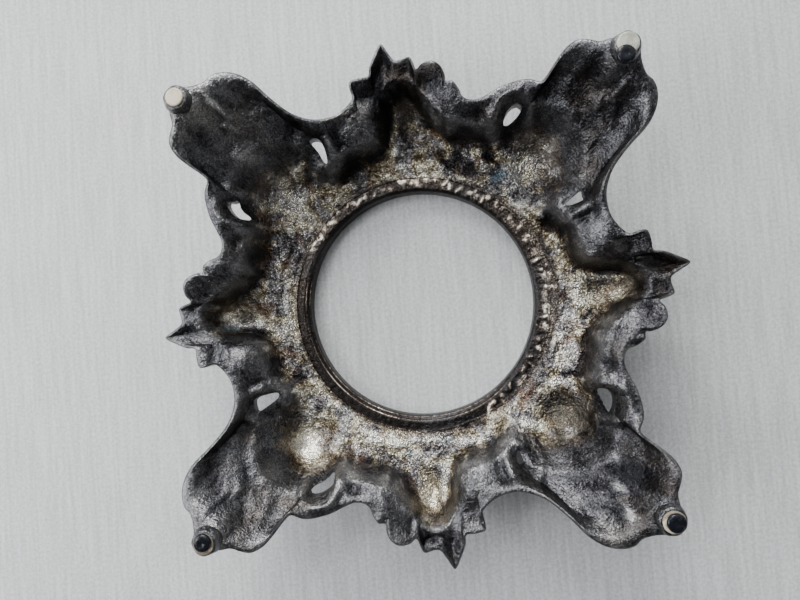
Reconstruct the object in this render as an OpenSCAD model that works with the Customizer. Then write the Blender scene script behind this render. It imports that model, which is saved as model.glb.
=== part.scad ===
// Footed lamp base, cast in one piece, lying upside down on its collar.
// The hollow underside faces up (+Z), the floor is z = 0 and the collar axis is the Z axis.

/* [Collar] */
// Diameter of the round opening (mm)
bore_d = 101.6; // [98:0.2:103]
// Height of the collar (mm)
collar_h = 8.5; // [8:0.1:9.5]
// Width of the flat band round the opening (mm)
band_w = 6.2; // [5.6:0.1:7]

/* [Casting] */
// Thickness of the cast wall (mm)
wall = 3; // [2.4:0.1:3.6]
// Strength of the embossed relief (1 = as made)
relief_gain = 1; // [0.4:0.1:1.1]
// Height of the foot tips above the floor (mm)
foot_h = 61.5; // [58:0.5:66]
// Diameter of the round boss under each foot tip (mm)
boss_d = 9.6; // [8.4:0.2:11]

/* [Pads and bumpers] */
// Diameter of the thin cream pad stuck on each foot tip (mm)
pad_d = 8; // [6:0.2:9]
// Thickness of a cream pad (mm)
pad_t = 1; // [0.6:0.1:1.6]
// Diameter of a black bumper (mm)
bumper_d = 6.8; // [5:0.2:8]
// Thickness of a black bumper (mm)
bumper_t = 1.6; // [1:0.1:2.4]

/* [Which sub-part] */

/* [Hidden] */
$fn = 96;
bore_r = bore_d / 2;
band_r = bore_r + band_w;
shell_r = bore_r + band_w / 2;   // the shell starts inside the collar
rows = 13;
tip_r = 118.9;                   // distance of each foot tip from the axis
rim_inset = 1.3;                 // how far the upper edge of the rim stands inside the lower edge
rim_drop = 2.4;                  // how far the lower edge of the rim is under the upper edge
ring_start = 131.5;              // angle at which the inner row starts

// Rim of one side, from the left foot tip to the right one: x, y and height of each point.
side = [
    [-87.4, 86.0, 60], [-84.2, 89.2, 59], [-79.7, 90.1, 57], [-75.4, 92.0, 55],
    [-73.0, 94.6, 54], [-69.3, 96.0, 53], [-64.8, 95.8, 52], [-60.6, 94.2, 51],
    [-56.7, 91.4, 50], [-52.8, 87.3, 48], [-48.7, 83.4, 46], [-44.2, 80.2, 43],
    [-38.8, 78.4, 40], [-33.2, 78.2, 38], [-27.2, 79.6, 37], [-22.4, 82.6, 37],
    [-19.6, 85.6, 38], [-20.4, 89.2, 39], [-20.2, 92.4, 38], [-16.4, 93.8, 37],
    [-12.6, 94.6, 36], [-12.0, 98.6, 35], [-10.0, 104.0, 33], [-6.9, 109.8, 31],
    [-3.8, 105.0, 32], [-1.6, 101.4, 33], [1.0, 101.2, 33], [4.8, 102.0, 33],
    [6.4, 99.0, 34], [7.5, 95.2, 36], [10.0, 96.4, 38], [14.2, 96.2, 40],
    [17.4, 94.0, 40], [19.0, 90.4, 39], [19.2, 88.2, 38], [21.9, 87.4, 39],
    [24.2, 84.4, 38], [25.2, 81.4, 38], [27.6, 79.6, 38], [31.4, 79.2, 38],
    [35.9, 80.6, 39], [40.6, 82.4, 40], [46.8, 83.6, 41], [51.6, 83.0, 43],
    [55.4, 80.8, 45], [57.8, 82.2, 47], [61.2, 86.2, 50], [64.8, 89.6, 53],
    [68.8, 91.0, 55], [72.6, 90.0, 56], [76.0, 88.4, 57], [80.0, 88.2, 59],
];
n = len(side);
columns = 4 * n;

// Foot of the steep wall round the low inner part of one side; the low part lies towards the axis.
inner_side = [
    [-44.5, 66.0], [-40.0, 58.5], [-35.0, 56.5], [-30.0, 60.5], [-25.5, 64.5], [-16.0, 66.5],
    [-10.5, 69.5], [-8.0, 77.0], [-6.8, 84.5], [-3.6, 89.6], [1.4, 90.6], [5.2, 87.2],
    [8.8, 81.4], [13.0, 75.8], [18.0, 71.6], [25.0, 69.8], [31.0, 68.6], [37.0, 66.4],
    [45.0, 68.6], [53.0, 68.0], [60.5, 63.6]
];
inner_loop = [for (q = [0:3]) for (p = inner_side) turn2(p, -90 * q)];

// Height against the distance from the axis: low inner part, then the raised part of crest, neck and foot.
low_line = [[50, 8], [57, 8.9], [62, 10.4], [68, 11.6], [75, 13.2], [82, 16.5], [88, 20.5], [94, 25]];
crest_line = [[56, 20], [66, 25], [73, 29.5], [80, 31.5], [88, 32.2], [95, 32.2], [102, 32], [111, 31]];
neck_line = [[56, 17], [66, 23.5], [73, 29], [80, 34], [90, 41], [100, 46], [110, 50], [124, 54]];
foot_line = [
    [60, 18], [76, 21], [84, 23.5], [90, 28], [95, 33.5], [100, 39], [106, 45.5], [112, 50.5], [117, 54.5], [124, 60]
];

// Swellings and hollows of one side: height, centre x and y, half sizes, turn and squareness.
humps = [
    [-2.6, 1.2, 80.0, 4.6, 9.5, 4, 1.6], [-1.2, 9.0, 72.5, 6.0, 3.6, -38, 1.5],      // channel and its fan
    [5.4, -19.5, 76.0, 7.0, 9.5, -28, 1.4], [-2.4, -19.5, 78.0, 10.0, 13.0, -28, 2], // left lobe
    [-2.4, -9.3, 82.0, 2.2, 8.0, -12, 1.3],                                          // groove beside it
    [3.8, 18.5, 83.5, 5.0, 13.0, 34, 1.2], [1.4, 13.8, 92.6, 3.6, 3.2, 0, 1.4],      // right tube
    [-1.9, 31.5, 75.0, 2.2, 6.0, 16, 1.2], [-1.8, -6.4, 99.5, 2.6, 7.0, -2, 1.5],    // groove and fin
    [-2.4, 45.0, 71.8, 5.6, 3.0, 22, 1.6], [-2.6, -37.0, 67.8, 3.6, 5.6, 28, 1.6],   // round the slots
    [-4.2, 54.0, 56.0, 10.0, 10.0, 0, 1.2],                                          // knee bowl
    [-2.6, -65.5, 87.0, 9.0, 4.4, -16, 2.4], [-1.5, -76.5, 76.0, 5.0, 4.0, 20, 1.8]  // palm of the left foot
];
// Ridges along arcs: height, centre x and y, radius, first and last angle, width.
ridges = [
    [3.4, 45.5, 71.6, 7.6, -5, 200, 2.3], [2.0, -38.0, 69.0, 7.6, 60, 250, 2.4],
    [1.8, 52.0, 54.0, 21.0, -12, 92, 2.4], [0.9, -75.5, 73.8, 8.4, 190, 320, 1.6]
];

// Pierced slots of one side: centre x and y, half length, half width and turn.
slots = [[44.8, 72.2, 5.4, 2.7, 24], [-37.0, 67.8, 5.3, 2.8, -62]];

function smooth(a, b, x) = let (t = min(1, max(0, (x - a) / (b - a)))) t * t * (3 - 2 * t);
function turn2(p, a) = [p.x * cos(a) - p.y * sin(a), p.x * sin(a) + p.y * cos(a)];

// A rounded bump of height 1, with squarer sides as the last number grows.
function hump(p, h) =
    let (q = turn2([p.x - h[1], p.y - h[2]], -h[5]))
    exp(-pow(pow(q.x / h[3], 2) + pow(q.y / h[4], 2), h[6]));

// A ridge of height 1 along an arc of a circle.
function ridge(p, g) =
    let (
        r = norm([p.x - g[1], p.y - g[2]]),
        off = abs((atan2(p.y - g[2], p.x - g[1]) - (g[4] + g[5]) / 2 + 540) % 360 - 180),
        past = max(off - (g[5] - g[4]) / 2, 0) * PI / 180 * r
    )
    exp(-(pow(r - g[3], 2) + past * past) / (g[6] * g[6]));

function total(list, i = 0) = i < len(list) ? list[i] + total(list, i + 1) : 0;
function relief(p) =
    total([for (h = humps) h[0] * hump(p, h)]) + total([for (g = ridges) g[0] * ridge(p, g)]);

// Distance from the foot of the wall, negative in the low inner part.
function segment_gap(p, a, b) =
    let (d = b - a, t = max(0, min(1, ((p - a) * d) / (d * d))))
    norm(p - a - t * d);
function crosses(p, a, b) =
    (a.y > p.y) != (b.y > p.y) && p.x < (b.x - a.x) * (p.y - a.y) / (b.y - a.y) + a.x;
function gap(p) =
    let (
        m = len(inner_loop),
        hits = len([for (i = [0:m - 1]) if (crosses(p, inner_loop[i], inner_loop[(i + 1) % m])) 1])
    )
    (hits % 2 == 1 ? -1 : 1)
        * min([for (i = [0:m - 1]) segment_gap(p, inner_loop[i], inner_loop[(i + 1) % m])]);

function height(p) =
    let (
        r = norm(p),
        phi = (atan2(p.y, p.x) + 360) % 90,
        foot = exp(-pow((phi - 43.5) / 15.5, 4)),
        crest = exp(-pow(min(phi, 90 - phi) / 16, 4)),
        neck = max(0, 1 - foot - crest),
        shares = foot + crest + neck,
        raised = foot * lookup(r, foot_line) + crest * lookup(r, crest_line) + neck * lookup(r, neck_line),
        step = smooth(-1, 3 + 3.6 * foot / shares, gap(p)),
        plain = lookup(r, low_line) * (1 - step) + raised / shares * step,
        carved = relief(p) + relief(turn2(p, 90)) + relief(turn2(p, -90)),
        w = smooth(band_r, band_r + 4, r)
    )
    (collar_h - 0.6) * (1 - w) + max(6, plain + relief_gain * carved) * w;

// Steepness of the shell at a point, which sets how thick the wall is when measured straight down.
function steep(p) =
    let (
        d = 1.5,
        dx = (height(p + [d, 0]) - height(p - [d, 0])) / (2 * d),
        dy = (height(p + [0, d]) - height(p - [0, d])) / (2 * d)
    )
    min(1.9, sqrt(1 + dx * dx + dy * dy));

function rim_point(j) =
    let (q = floor(((j % columns) + columns) % columns / n), s = side[((j % n) + n) % n])
    turn2([s.x, s.y], -90 * q);
function rim_height(j) = side[((j % n) + n) % n].z + foot_h - 61.5;
function inward(j) =
    let (d = rim_point(j + 1) - rim_point(j - 1))
    [d.y, -d.x] / norm(d);

lengths = [for (j = 0, s = 0; j <= n; s = s + norm(rim_point(j + 1) - rim_point(j)), j = j + 1) s];
function polar(p) = [norm(p), atan2(p.y, p.x)];
function near_angle(a, b) = b + ((a - b + 540) % 360 - 180);
function start_angle(j) = ring_start - 90 * floor(j / n) - 90 * lengths[j % n] / lengths[n];

// Plan position of grid point i, j for a rim point e.
function plan(i, j, e) =
    let (
        v = i / rows,
        w = 0.6 * v * v * (3 - 2 * v) + 0.4 * v,
        inner = start_angle(j),
        outer = near_angle(polar(e)[1], inner),
        a = inner * (1 - w) + outer * w,
        r = shell_r + (polar(e)[0] - shell_r) * v
    )
    [r * cos(a), r * sin(a)];

upper_rim = [for (j = [0:n - 1]) rim_point(j) + rim_inset * inward(j)];
function slot_value(p, s) =
    let (q = turn2([p.x - s[0], p.y - s[1]], -s[4]))
    pow(q.x / s[2], 2) + pow(q.y / s[3], 2);
function on_slot(p, s) = let (c = [s[0], s[1]]) c + (p - c) / sqrt(slot_value(p, s));
function raw(i, j) = plan(i, j, upper_rim[j]);
function mid(i, j) =
    let (next = turned_rim(j + 1))
    (raw(i, j) + raw(i + 1, j) + plan(i, j + 1, next) + plan(i + 1, j + 1, next)) / 4;
function turned_rim(j) = j < n ? upper_rim[j] : turn2(upper_rim[j - n], -90);
open_cell = [for (i = [0:rows - 1]) [for (j = [0:n - 1])
    min([for (k = [0, 90, -90]) for (s = slots) slot_value(turn2(mid(i, j), k), s)]) < 1.05]];
function is_open(i, j) = i < 0 || i >= rows ? false : open_cell[i][((j % n) + n) % n];

function at_slot(i, j) =
    let (c = [is_open(i, j), is_open(i - 1, j), is_open(i, j - 1), is_open(i - 1, j - 1)])
    (c[0] || c[1] || c[2] || c[3]) && !(c[0] && c[1] && c[2] && c[3]);
function best_slot(p) =
    let (
        all = [for (k = [0, 90, -90]) for (s = slots) [slot_value(turn2(p, k), s), k, s]],
        least = min([for (a = all) a[0]])
    )
    [for (a = all) if (a[0] == least) a][0];
function placed(i, j) =
    let (p = raw(i, j))
    at_slot(i, j) ? let (b = best_slot(p)) turn2(on_slot(turn2(p, b[1]), b[2]), -b[1]) : p;

upper = [for (i = [0:rows]) [for (j = [0:n - 1])
    let (p = placed(i, j), e = smooth(0.8, 1, i / rows), z = height(p) * (1 - e) + rim_height(j) * e)
    [p.x, p.y, z]]];
lower = [for (i = [0:rows]) [for (j = [0:n - 1])
    let (p = upper[i][j], e = rim_point(j))
    i == rows ? [e.x, e.y, rim_height(j) - rim_drop]
              : i == 0 ? [p.x, p.y, collar_h / 3] : [p.x, p.y, max(0.8, p.z - wall * steep([p.x, p.y]))]]];

function ring_of(points) = [for (row = points) for (q = [0:3]) for (p = row)
    let (t = turn2([p.x, p.y], -90 * q)) [t.x, t.y, p.z]];
shell_points = concat(ring_of(upper), ring_of(lower));
under = (rows + 1) * columns;
function at(i, j) = i * columns + j % columns;

shell_faces = [
    for (i = [0:rows - 1]) for (j = [0:columns - 1]) if (!is_open(i, j)) each [
        [at(i, j), at(i + 1, j), at(i + 1, j + 1)], [at(i, j), at(i + 1, j + 1), at(i, j + 1)],
        [under + at(i, j), under + at(i + 1, j + 1), under + at(i + 1, j)],
        [under + at(i, j), under + at(i, j + 1), under + at(i + 1, j + 1)]
    ],
    for (j = [0:columns - 1]) each [
        [at(rows, j), under + at(rows, j), under + at(rows, j + 1)],
        [at(rows, j), under + at(rows, j + 1), at(rows, j + 1)],
        [at(0, j), under + at(0, j + 1), under + at(0, j)],
        [at(0, j), at(0, j + 1), under + at(0, j + 1)]
    ],
    for (i = [0:rows - 1]) for (j = [0:columns - 1]) if (is_open(i, j)) each [
        if (!is_open(i, j - 1)) each wall_of(at(i + 1, j), at(i, j)),
        if (!is_open(i, j + 1)) each wall_of(at(i, j + 1), at(i + 1, j + 1)),
        if (!is_open(i - 1, j)) each wall_of(at(i, j), at(i, j + 1)),
        if (!is_open(i + 1, j)) each wall_of(at(i + 1, j + 1), at(i + 1, j))
    ]
];
function wall_of(a, b) = [[a, under + b, b], [a, under + a, under + b]];

module shell() {
    polyhedron(points = shell_points, faces = shell_faces, convexity = 12);
}

module collar() {
    rotate_extrude()
        polygon([
            [bore_r, 0], [band_r - 1, 0], [band_r, 1], [band_r, collar_h - 0.6], [band_r - 0.6, collar_h],
            [bore_r + 2.4, collar_h], [bore_r + 2, collar_h - 0.5], [bore_r + 1.2, collar_h - 0.5],
            [bore_r + 0.8, collar_h - 1.3], [bore_r, collar_h - 1.3]
        ]);
}

module boss() {
    translate([tip_r, 0, foot_h - 9])
        cylinder(d1 = boss_d - 1.6, d2 = boss_d, h = 7.5);
    translate([tip_r, 0, foot_h - 1.5])
        cylinder(d = boss_d, h = 1.5);
}

module casting() {
    color([0.36, 0.36, 0.36])
        union() {
            shell();
            collar();
            for (q = [0:3])
                rotate([0, 0, 45 + 90 * q])
                    boss();
        }
}

module pad(x, y, d = pad_d) {
    color([0.87, 0.83, 0.7])
        translate([x, y, foot_h])
            cylinder(d = d, h = pad_t);
}

module bumper(x, y) {
    color([0.05, 0.05, 0.05])
        translate([x, y, foot_h + pad_t])
            union() {
                cylinder(d = bumper_d, h = bumper_t * 0.6);
                translate([0, 0, bumper_t * 0.6])
                    cylinder(d1 = bumper_d, d2 = bumper_d * 0.72, h = bumper_t * 0.4);
            }
}

// The bare pad on the first foot is a little smaller than the others.
module pad_nw() { pad(-84.1, 84.1, pad_d - 1); }
module pad_ne() { pad(84.1, 84.1); }
module pad_se() { pad(84.4, -83.8); }
module pad_sw() { pad(-84.0, -84.3); }
module bumper_ne() { bumper(82.7, 79.7); }
module bumper_se() { bumper(84.8, -83.8); }
module bumper_sw() { bumper(-83.8, -83.4); }

casting();
pad_nw();
pad_ne();
pad_se();
pad_sw();
bumper_ne();
bumper_se();
bumper_sw();
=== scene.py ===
"""A cast-metal lamp base lying upside down on its collar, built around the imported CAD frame.

All shapes are in millimetres until they become Blender meshes, which are in metres.
"""

import math

import bmesh
import bpy
import numpy as np
from mathutils import Matrix, Vector, noise


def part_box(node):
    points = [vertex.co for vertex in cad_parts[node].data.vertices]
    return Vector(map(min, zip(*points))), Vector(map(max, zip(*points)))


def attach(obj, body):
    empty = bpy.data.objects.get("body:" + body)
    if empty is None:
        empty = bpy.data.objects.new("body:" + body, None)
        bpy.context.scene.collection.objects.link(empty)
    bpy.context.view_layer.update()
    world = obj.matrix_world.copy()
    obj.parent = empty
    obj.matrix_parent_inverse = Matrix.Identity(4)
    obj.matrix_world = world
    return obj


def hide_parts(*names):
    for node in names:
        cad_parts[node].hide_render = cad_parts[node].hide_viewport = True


MM = 0.001
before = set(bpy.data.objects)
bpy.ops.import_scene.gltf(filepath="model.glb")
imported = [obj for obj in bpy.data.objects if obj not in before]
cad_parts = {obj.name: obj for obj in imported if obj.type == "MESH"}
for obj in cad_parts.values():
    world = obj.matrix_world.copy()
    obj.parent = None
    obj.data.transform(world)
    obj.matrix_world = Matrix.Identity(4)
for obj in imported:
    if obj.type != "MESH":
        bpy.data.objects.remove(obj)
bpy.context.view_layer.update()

# ---------------------------------------------------------------- sizes from the CAD frame
BORE_R = 50.8
COLLAR_H = 8.5
LEDGE_W = 2.3  # stepped ledge next to the bore, where it is widest
COLLAR_W = 5.6  # ledge and band together
BAND_R = 57.0  # where the shell starts outside the band
FOOT_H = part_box("casting")[1].z / MM
WALL = 3.0
RIM_INSET = 0.9
RIM_DROP = 2.0

# ---------------------------------------------------------------- outline and profile lines
# Rim of one side, from the left foot tip to the right one: x, y and height of each point.
SIDE = [
    (-87.4, 86.0, 60), (-84.2, 89.2, 59), (-79.7, 90.1, 57), (-75.4, 92.0, 55),
    (-73.0, 94.6, 54), (-69.3, 96.0, 53), (-64.8, 95.8, 52), (-60.6, 94.2, 51),
    (-56.7, 91.4, 50), (-52.8, 87.3, 48), (-48.7, 83.4, 46), (-44.2, 80.2, 43),
    (-38.8, 78.4, 40), (-33.2, 78.2, 38), (-27.2, 79.6, 37), (-22.4, 82.6, 37),
    (-19.6, 85.6, 38), (-20.4, 89.2, 39), (-20.2, 92.4, 38), (-16.4, 93.8, 37),
    (-12.6, 94.6, 36), (-12.0, 98.6, 35), (-10.0, 104.0, 33), (-6.9, 109.8, 31),
    (-3.8, 105.0, 32), (-1.6, 101.4, 33), (1.0, 101.2, 33), (4.8, 102.0, 33),
    (6.4, 99.0, 34), (7.5, 95.2, 36), (10.0, 96.4, 38), (14.2, 96.2, 40),
    (17.4, 94.0, 40), (19.0, 90.4, 39), (19.2, 88.2, 38), (21.9, 87.4, 39),
    (24.2, 84.4, 38), (25.2, 81.4, 38), (27.6, 79.6, 38), (31.4, 79.2, 38),
    (35.9, 80.6, 39), (40.6, 82.4, 40), (46.8, 83.6, 41), (51.6, 83.0, 43),
    (55.4, 80.8, 45), (57.8, 82.2, 47), (61.2, 86.2, 50), (64.8, 89.6, 53),
    (68.8, 91.0, 55), (72.6, 90.0, 56), (76.0, 88.4, 57), (80.0, 88.2, 59),
]
# Foot of the steep wall round the low inner part of one side: the low part lies towards the axis.
INNER = [
    (-44.5, 66.0), (-40.0, 58.5), (-35.0, 56.5), (-30.0, 60.5), (-25.5, 64.5), (-16.0, 66.5),
    (-10.5, 69.5), (-8.0, 77.0), (-6.8, 84.5), (-3.6, 89.6), (1.4, 90.6), (5.2, 87.2),
    (8.8, 81.4), (13.0, 75.8), (18.0, 71.6), (25.0, 69.8), (31.0, 68.6), (37.0, 66.4),
    (45.0, 68.6), (53.0, 68.0), (60.5, 63.6),
]
# Height against the distance from the axis: low inner part, then the raised part of crest, neck and foot.
LOW = [(50, 8), (57, 8.9), (62, 10.4), (68, 11.6), (75, 13.2), (82, 16.5), (88, 20.5), (94, 25)]
CREST = [(56, 20), (66, 25), (73, 29.5), (80, 31.5), (88, 32.2), (95, 32.2), (102, 32.0), (111, 31)]
NECK = [(56, 17), (66, 23.5), (73, 29), (80, 34), (90, 41), (100, 46), (110, 50), (124, 54)]
FOOT = [
    (60, 18), (76, 21), (84, 23.5), (90, 28), (95, 33.5), (100, 39), (106, 45.5), (112, 50.5),
    (117, 54.5), (124, 60),
]


def smooth(a, b, x):
    t = np.clip((x - a) / (b - a), 0, 1)
    return t * t * (3 - 2 * t)


def along(x, points):
    """A smooth curve through the points of a profile line."""
    xs = np.array([p[0] for p in points], float)
    ys = np.array([p[1] for p in points], float)
    slope = np.gradient(ys, xs)
    x = np.clip(x, xs[0], xs[-1])
    i = np.clip(np.searchsorted(xs, x) - 1, 0, len(xs) - 2)
    h = xs[i + 1] - xs[i]
    t = (x - xs[i]) / h
    return (
        (2 * t**3 - 3 * t**2 + 1) * ys[i]
        + (t**3 - 2 * t**2 + t) * h * slope[i]
        + (-2 * t**3 + 3 * t**2) * ys[i + 1]
        + (t**3 - t**2) * h * slope[i + 1]
    )


def hump(x, y, cx, cy, a, b, turn, k):
    """A rounded bump of height 1: half sizes a and b, turned, with squarer sides as k grows."""
    c, s = math.cos(math.radians(turn)), math.sin(math.radians(turn))
    u = ((x - cx) * c + (y - cy) * s) / a
    v = (-(x - cx) * s + (y - cy) * c) / b
    return np.exp(-((u * u + v * v) ** k))


def ridge(x, y, cx, cy, radius, start, end, width):
    """A ridge of height 1 along an arc of a circle."""
    r = np.hypot(x - cx, y - cy)
    angle = np.degrees(np.arctan2(y - cy, x - cx))
    off = np.abs((angle - (start + end) / 2 + 540) % 360 - 180)
    past = np.radians(np.maximum(off - (end - start) / 2, 0)) * r
    return np.exp(-((r - radius) ** 2 + past**2) / width**2)


def turned(x, y, quarter):
    """The point turned so that side number quarter, counted clockwise, is at the top."""
    a = math.radians(90 * quarter)
    return x * math.cos(a) - y * math.sin(a), x * math.sin(a) + y * math.cos(a)


def sectors(x, y):
    """Shares of foot, crest and neck at a point."""
    phi = np.degrees(np.arctan2(y, x)) % 90
    foot = np.exp(-np.abs((phi - 43.5) / 15.5) ** 4)
    crest = np.exp(-(np.minimum(phi, 90 - phi) / 16.0) ** 4)
    neck = np.clip(1 - foot - crest, 0, 1)
    total = foot + crest + neck
    return foot / total, crest / total, neck / total


def gap(x, y):
    """Distance to the foot of the wall, negative in the low inner part."""
    loop = []
    for quarter in range(4):
        a = math.radians(-90 * quarter)
        for px, py in INNER:
            loop.append((px * math.cos(a) - py * math.sin(a), px * math.sin(a) + py * math.cos(a)))
    near = np.full(np.shape(x), 1e9)
    inside = np.zeros(np.shape(x), bool)
    for (ax, ay), (bx, by) in zip(loop, loop[1:] + loop[:1]):
        t = np.clip(((x - ax) * (bx - ax) + (y - ay) * (by - ay)) / ((bx - ax) ** 2 + (by - ay) ** 2), 0, 1)
        near = np.minimum(near, np.hypot(x - ax - t * (bx - ax), y - ay - t * (by - ay)))
        if ay != by:
            inside ^= ((ay > y) != (by > y)) & (x < (bx - ax) * (y - ay) / (by - ay) + ax)
    return np.where(inside, -near, near)


def relief(x, y):
    """Hollows and swellings shared by all four sides."""
    z = 0 * x
    # trough down the channel and the shallow fan beside it
    z = z - 2.6 * hump(x, y, 1.2, 80.0, 4.6, 9.5, 4, 1.6)
    z = z - 1.2 * hump(x, y, 9.0, 72.5, 6.0, 3.6, -38, 1.5)
    z = z + 0.9 * hump(x, y, -4.2, 77.5, 1.8, 5.5, -8, 1.3)
    z = z - 1.2 * hump(x, y, 2.0, 64.4, 9.0, 2.2, -8, 1.3)
    # rounded lobe left of the channel, with a groove round it
    z = z - 2.4 * hump(x, y, -19.5, 78.0, 10.0, 13.0, -28, 2.0)
    z = z + 5.4 * hump(x, y, -19.5, 76.0, 7.0, 9.5, -28, 1.4)
    z = z - 2.4 * hump(x, y, -9.3, 82.0, 2.2, 8.0, -12, 1.3)
    z = z - 2.2 * hump(x, y, -29.0, 71.0, 1.7, 6.0, 18, 1.4)
    z = z + 1.6 * hump(x, y, -32.0, 69.5, 2.2, 3.2, 10, 1.4)
    z = z + 1.4 * hump(x, y, -16.6, 91.0, 3.0, 2.2, 10, 1.3)
    # tube right of the channel, its two end lobes and the grooves beside it
    z = z + 3.8 * hump(x, y, 18.5, 83.5, 5.0, 13.0, 34, 1.2)
    z = z + 1.4 * hump(x, y, 13.8, 92.6, 3.6, 3.2, 0, 1.4)
    z = z - 1.6 * hump(x, y, 8.0, 93.0, 1.4, 5.5, 12, 1.2)
    z = z - 1.6 * hump(x, y, 20.6, 89.4, 1.4, 3.0, 40, 1.4)
    z = z - 1.9 * hump(x, y, 31.5, 75.0, 2.2, 6.0, 16, 1.2)
    z = z + 1.3 * hump(x, y, 34.6, 73.6, 1.4, 5.0, 12, 1.4)
    # dished fin of the crest
    z = z - 1.8 * hump(x, y, -6.4, 99.5, 2.6, 7.0, -2, 1.5)
    z = z - 1.4 * hump(x, y, 2.6, 97.0, 3.0, 3.6, 0, 1.5)
    # scroll round the right slot
    z = z + 3.4 * ridge(x, y, 45.5, 71.6, 7.6, -5, 200, 2.3)
    z = z - 2.4 * hump(x, y, 45.0, 71.8, 5.6, 3.0, 22, 1.6)
    # swelling and dip round the left slot
    z = z + 2.0 * ridge(x, y, -38.0, 69.0, 7.6, 60, 250, 2.4)
    z = z - 2.6 * hump(x, y, -37.0, 67.8, 3.6, 5.6, 28, 1.6)
    # knee bowl and the brow over it
    z = z - 4.2 * hump(x, y, 54.0, 56.0, 10.0, 10.0, 0, 1.2)
    z = z + 1.8 * ridge(x, y, 52.0, 54.0, 21.0, -12, 92, 2.4)
    # palm of the left foot: long hollow, round hollow and the ridges between them
    z = z - 2.6 * hump(x, y, -65.5, 87.0, 9.0, 4.4, -16, 2.4)
    z = z - 1.5 * hump(x, y, -76.5, 76.0, 5.0, 4.0, 20, 1.8)
    z = z + 1.7 * hump(x, y, -71.8, 82.6, 3.6, 1.1, -50, 1.6)
    z = z + 1.1 * hump(x, y, -70.0, 76.4, 3.4, 1.4, -20, 1.6)
    z = z + 0.9 * hump(x, y, -63.0, 77.5, 6.0, 1.6, 14, 1.5)
    z = z + 0.9 * ridge(x, y, -75.5, 73.8, 8.4, 190, 320, 1.6)
    z = z - 2.0 * hump(x, y, -85.0, 71.5, 3.0, 5.0, -20, 1.6)
    # web that carries the boss of the foot tip
    z = z + 5.5 * hump(x, y, -80.6, 80.6, 5.6, 4.6, -45, 1.5)
    return z


# Casting quirks of each side, clockwise from the top one: amount, centre, half sizes, turn.
QUIRKS = [
    [(-2.2, -22.0, 61.6, 12.0, 4.6, 14), (-2.4, 22.0, 60.4, 11.5, 4.0, -34), (1.6, -6.0, 68.0, 1.8, 2.4, 0),
     (-1.6, 35.5, 62.0, 2.6, 3.4, 30), (1.2, 33.0, 58.0, 3.4, 4.0, 20), (1.5, -50.0, 62.0, 4.0, 2.0, 30)],
    [(-1.6, 17.0, 64.4, 7.0, 3.6, 10), (-1.8, -31.0, 57.5, 4.5, 3.0, -20), (1.8, 44.0, 63.5, 5.0, 2.2, 10),
     (-0.9, 36.2, 62.0, 1.3, 4.6, -6), (1.3, 24.0, 56.0, 5.0, 1.6, -20), (1.0, -22.0, 62.0, 4.0, 3.0, 0)],
    [(1.3, -16.0, 63.0, 5.0, 2.6, 14), (-1.3, -8.0, 62.0, 3.0, 4.5, 30), (1.5, 33.0, 66.0, 2.0, 6.0, 8),
     (-2.4, 1.6, 97.2, 4.2, 1.5, 12), (1.3, -48.0, 58.0, 7.0, 2.4, -20), (1.1, 14.0, 62.0, 6.0, 2.0, -8),
     (-2.6, 59.5, 64.5, 5.5, 5.0, -40)],
    [(-1.8, -10.0, 72.0, 2.4, 4.0, 0), (1.5, 4.0, 62.0, 6.0, 2.0, 6), (-1.2, 22.0, 60.0, 8.0, 1.3, -24),
     (1.5, 40.0, 58.0, 5.0, 2.2, 40), (-1.4, -14.0, 61.0, 4.0, 2.6, 0), (1.2, 52.0, 50.0, 3.0, 4.4, 0)],
]


def height(x, y):
    r = np.hypot(x, y)
    foot, crest, neck = sectors(x, y)
    wall = smooth(-1.0 - 5.0 * foot, 3.0 + 3.6 * foot, gap(x, y))
    raised = foot * along(r, FOOT) + crest * along(r, CREST) + neck * along(r, NECK)
    z = along(r, LOW) * (1 - wall) + raised * wall
    for quarter in range(4):
        tx, ty = turned(x, y, quarter)
        z = z + relief(tx, ty)
        for amount, cx, cy, a, b, turn in QUIRKS[quarter]:
            z = z + amount * hump(tx, ty, cx, cy, a, b, turn, 1.5)
    w = smooth(BAND_R, BAND_R + 4, r)
    return (COLLAR_H + 0.2) * (1 - w) + np.maximum(6, z) * w


# ---------------------------------------------------------------- grid of the shell
STEPS = 4  # columns to each rim point
TOP_ROWS = 68
UNDER_ROWS = 29


def catmull(points, steps):
    p = np.asarray(points, float)
    out = []
    for i in range(len(p)):
        a, b, c, d = p[i - 1], p[i], p[(i + 1) % len(p)], p[(i + 2) % len(p)]
        for j in range(steps):
            t = j / steps
            out.append(
                0.5 * (
                    2 * b
                    + (c - a) * t
                    + (2 * a - 5 * b + 4 * c - d) * t**2
                    + (3 * b - a - 3 * c + d) * t**3
                )
            )
    return np.array(out)


def rim(inset):
    """The closed rim line, set in by that much along its own normal."""
    points = []
    for quarter in range(4):
        a = math.radians(-90 * quarter)
        for x, y, z in SIDE:
            points.append((x * math.cos(a) - y * math.sin(a), x * math.sin(a) + y * math.cos(a), z))
    line = catmull(points, STEPS)
    flow = np.roll(line[:, :2], -1, 0) - np.roll(line[:, :2], 1, 0)
    flow /= np.linalg.norm(flow, axis=1, keepdims=True)
    line[:, 0] += inset * flow[:, 1]
    line[:, 1] -= inset * flow[:, 0]
    return line


def columns_of(line, inner_angle, rows, r0):
    """Plan positions of grid rows between the circle of radius r0 and a rim line."""
    radius = np.hypot(line[:, 0], line[:, 1])
    angle = np.unwrap(np.arctan2(line[:, 1], line[:, 0]))
    angle += 2 * np.pi * np.round((inner_angle.mean() - angle.mean()) / (2 * np.pi))
    v = np.linspace(0, 1, rows + 1)[:, None]
    w = 0.6 * v * v * (3 - 2 * v) + 0.4 * v
    a = inner_angle[None] * (1 - w) + angle[None] * w
    r = r0 + (radius[None] - r0) * v
    return r * np.cos(a), r * np.sin(a), v


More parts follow.
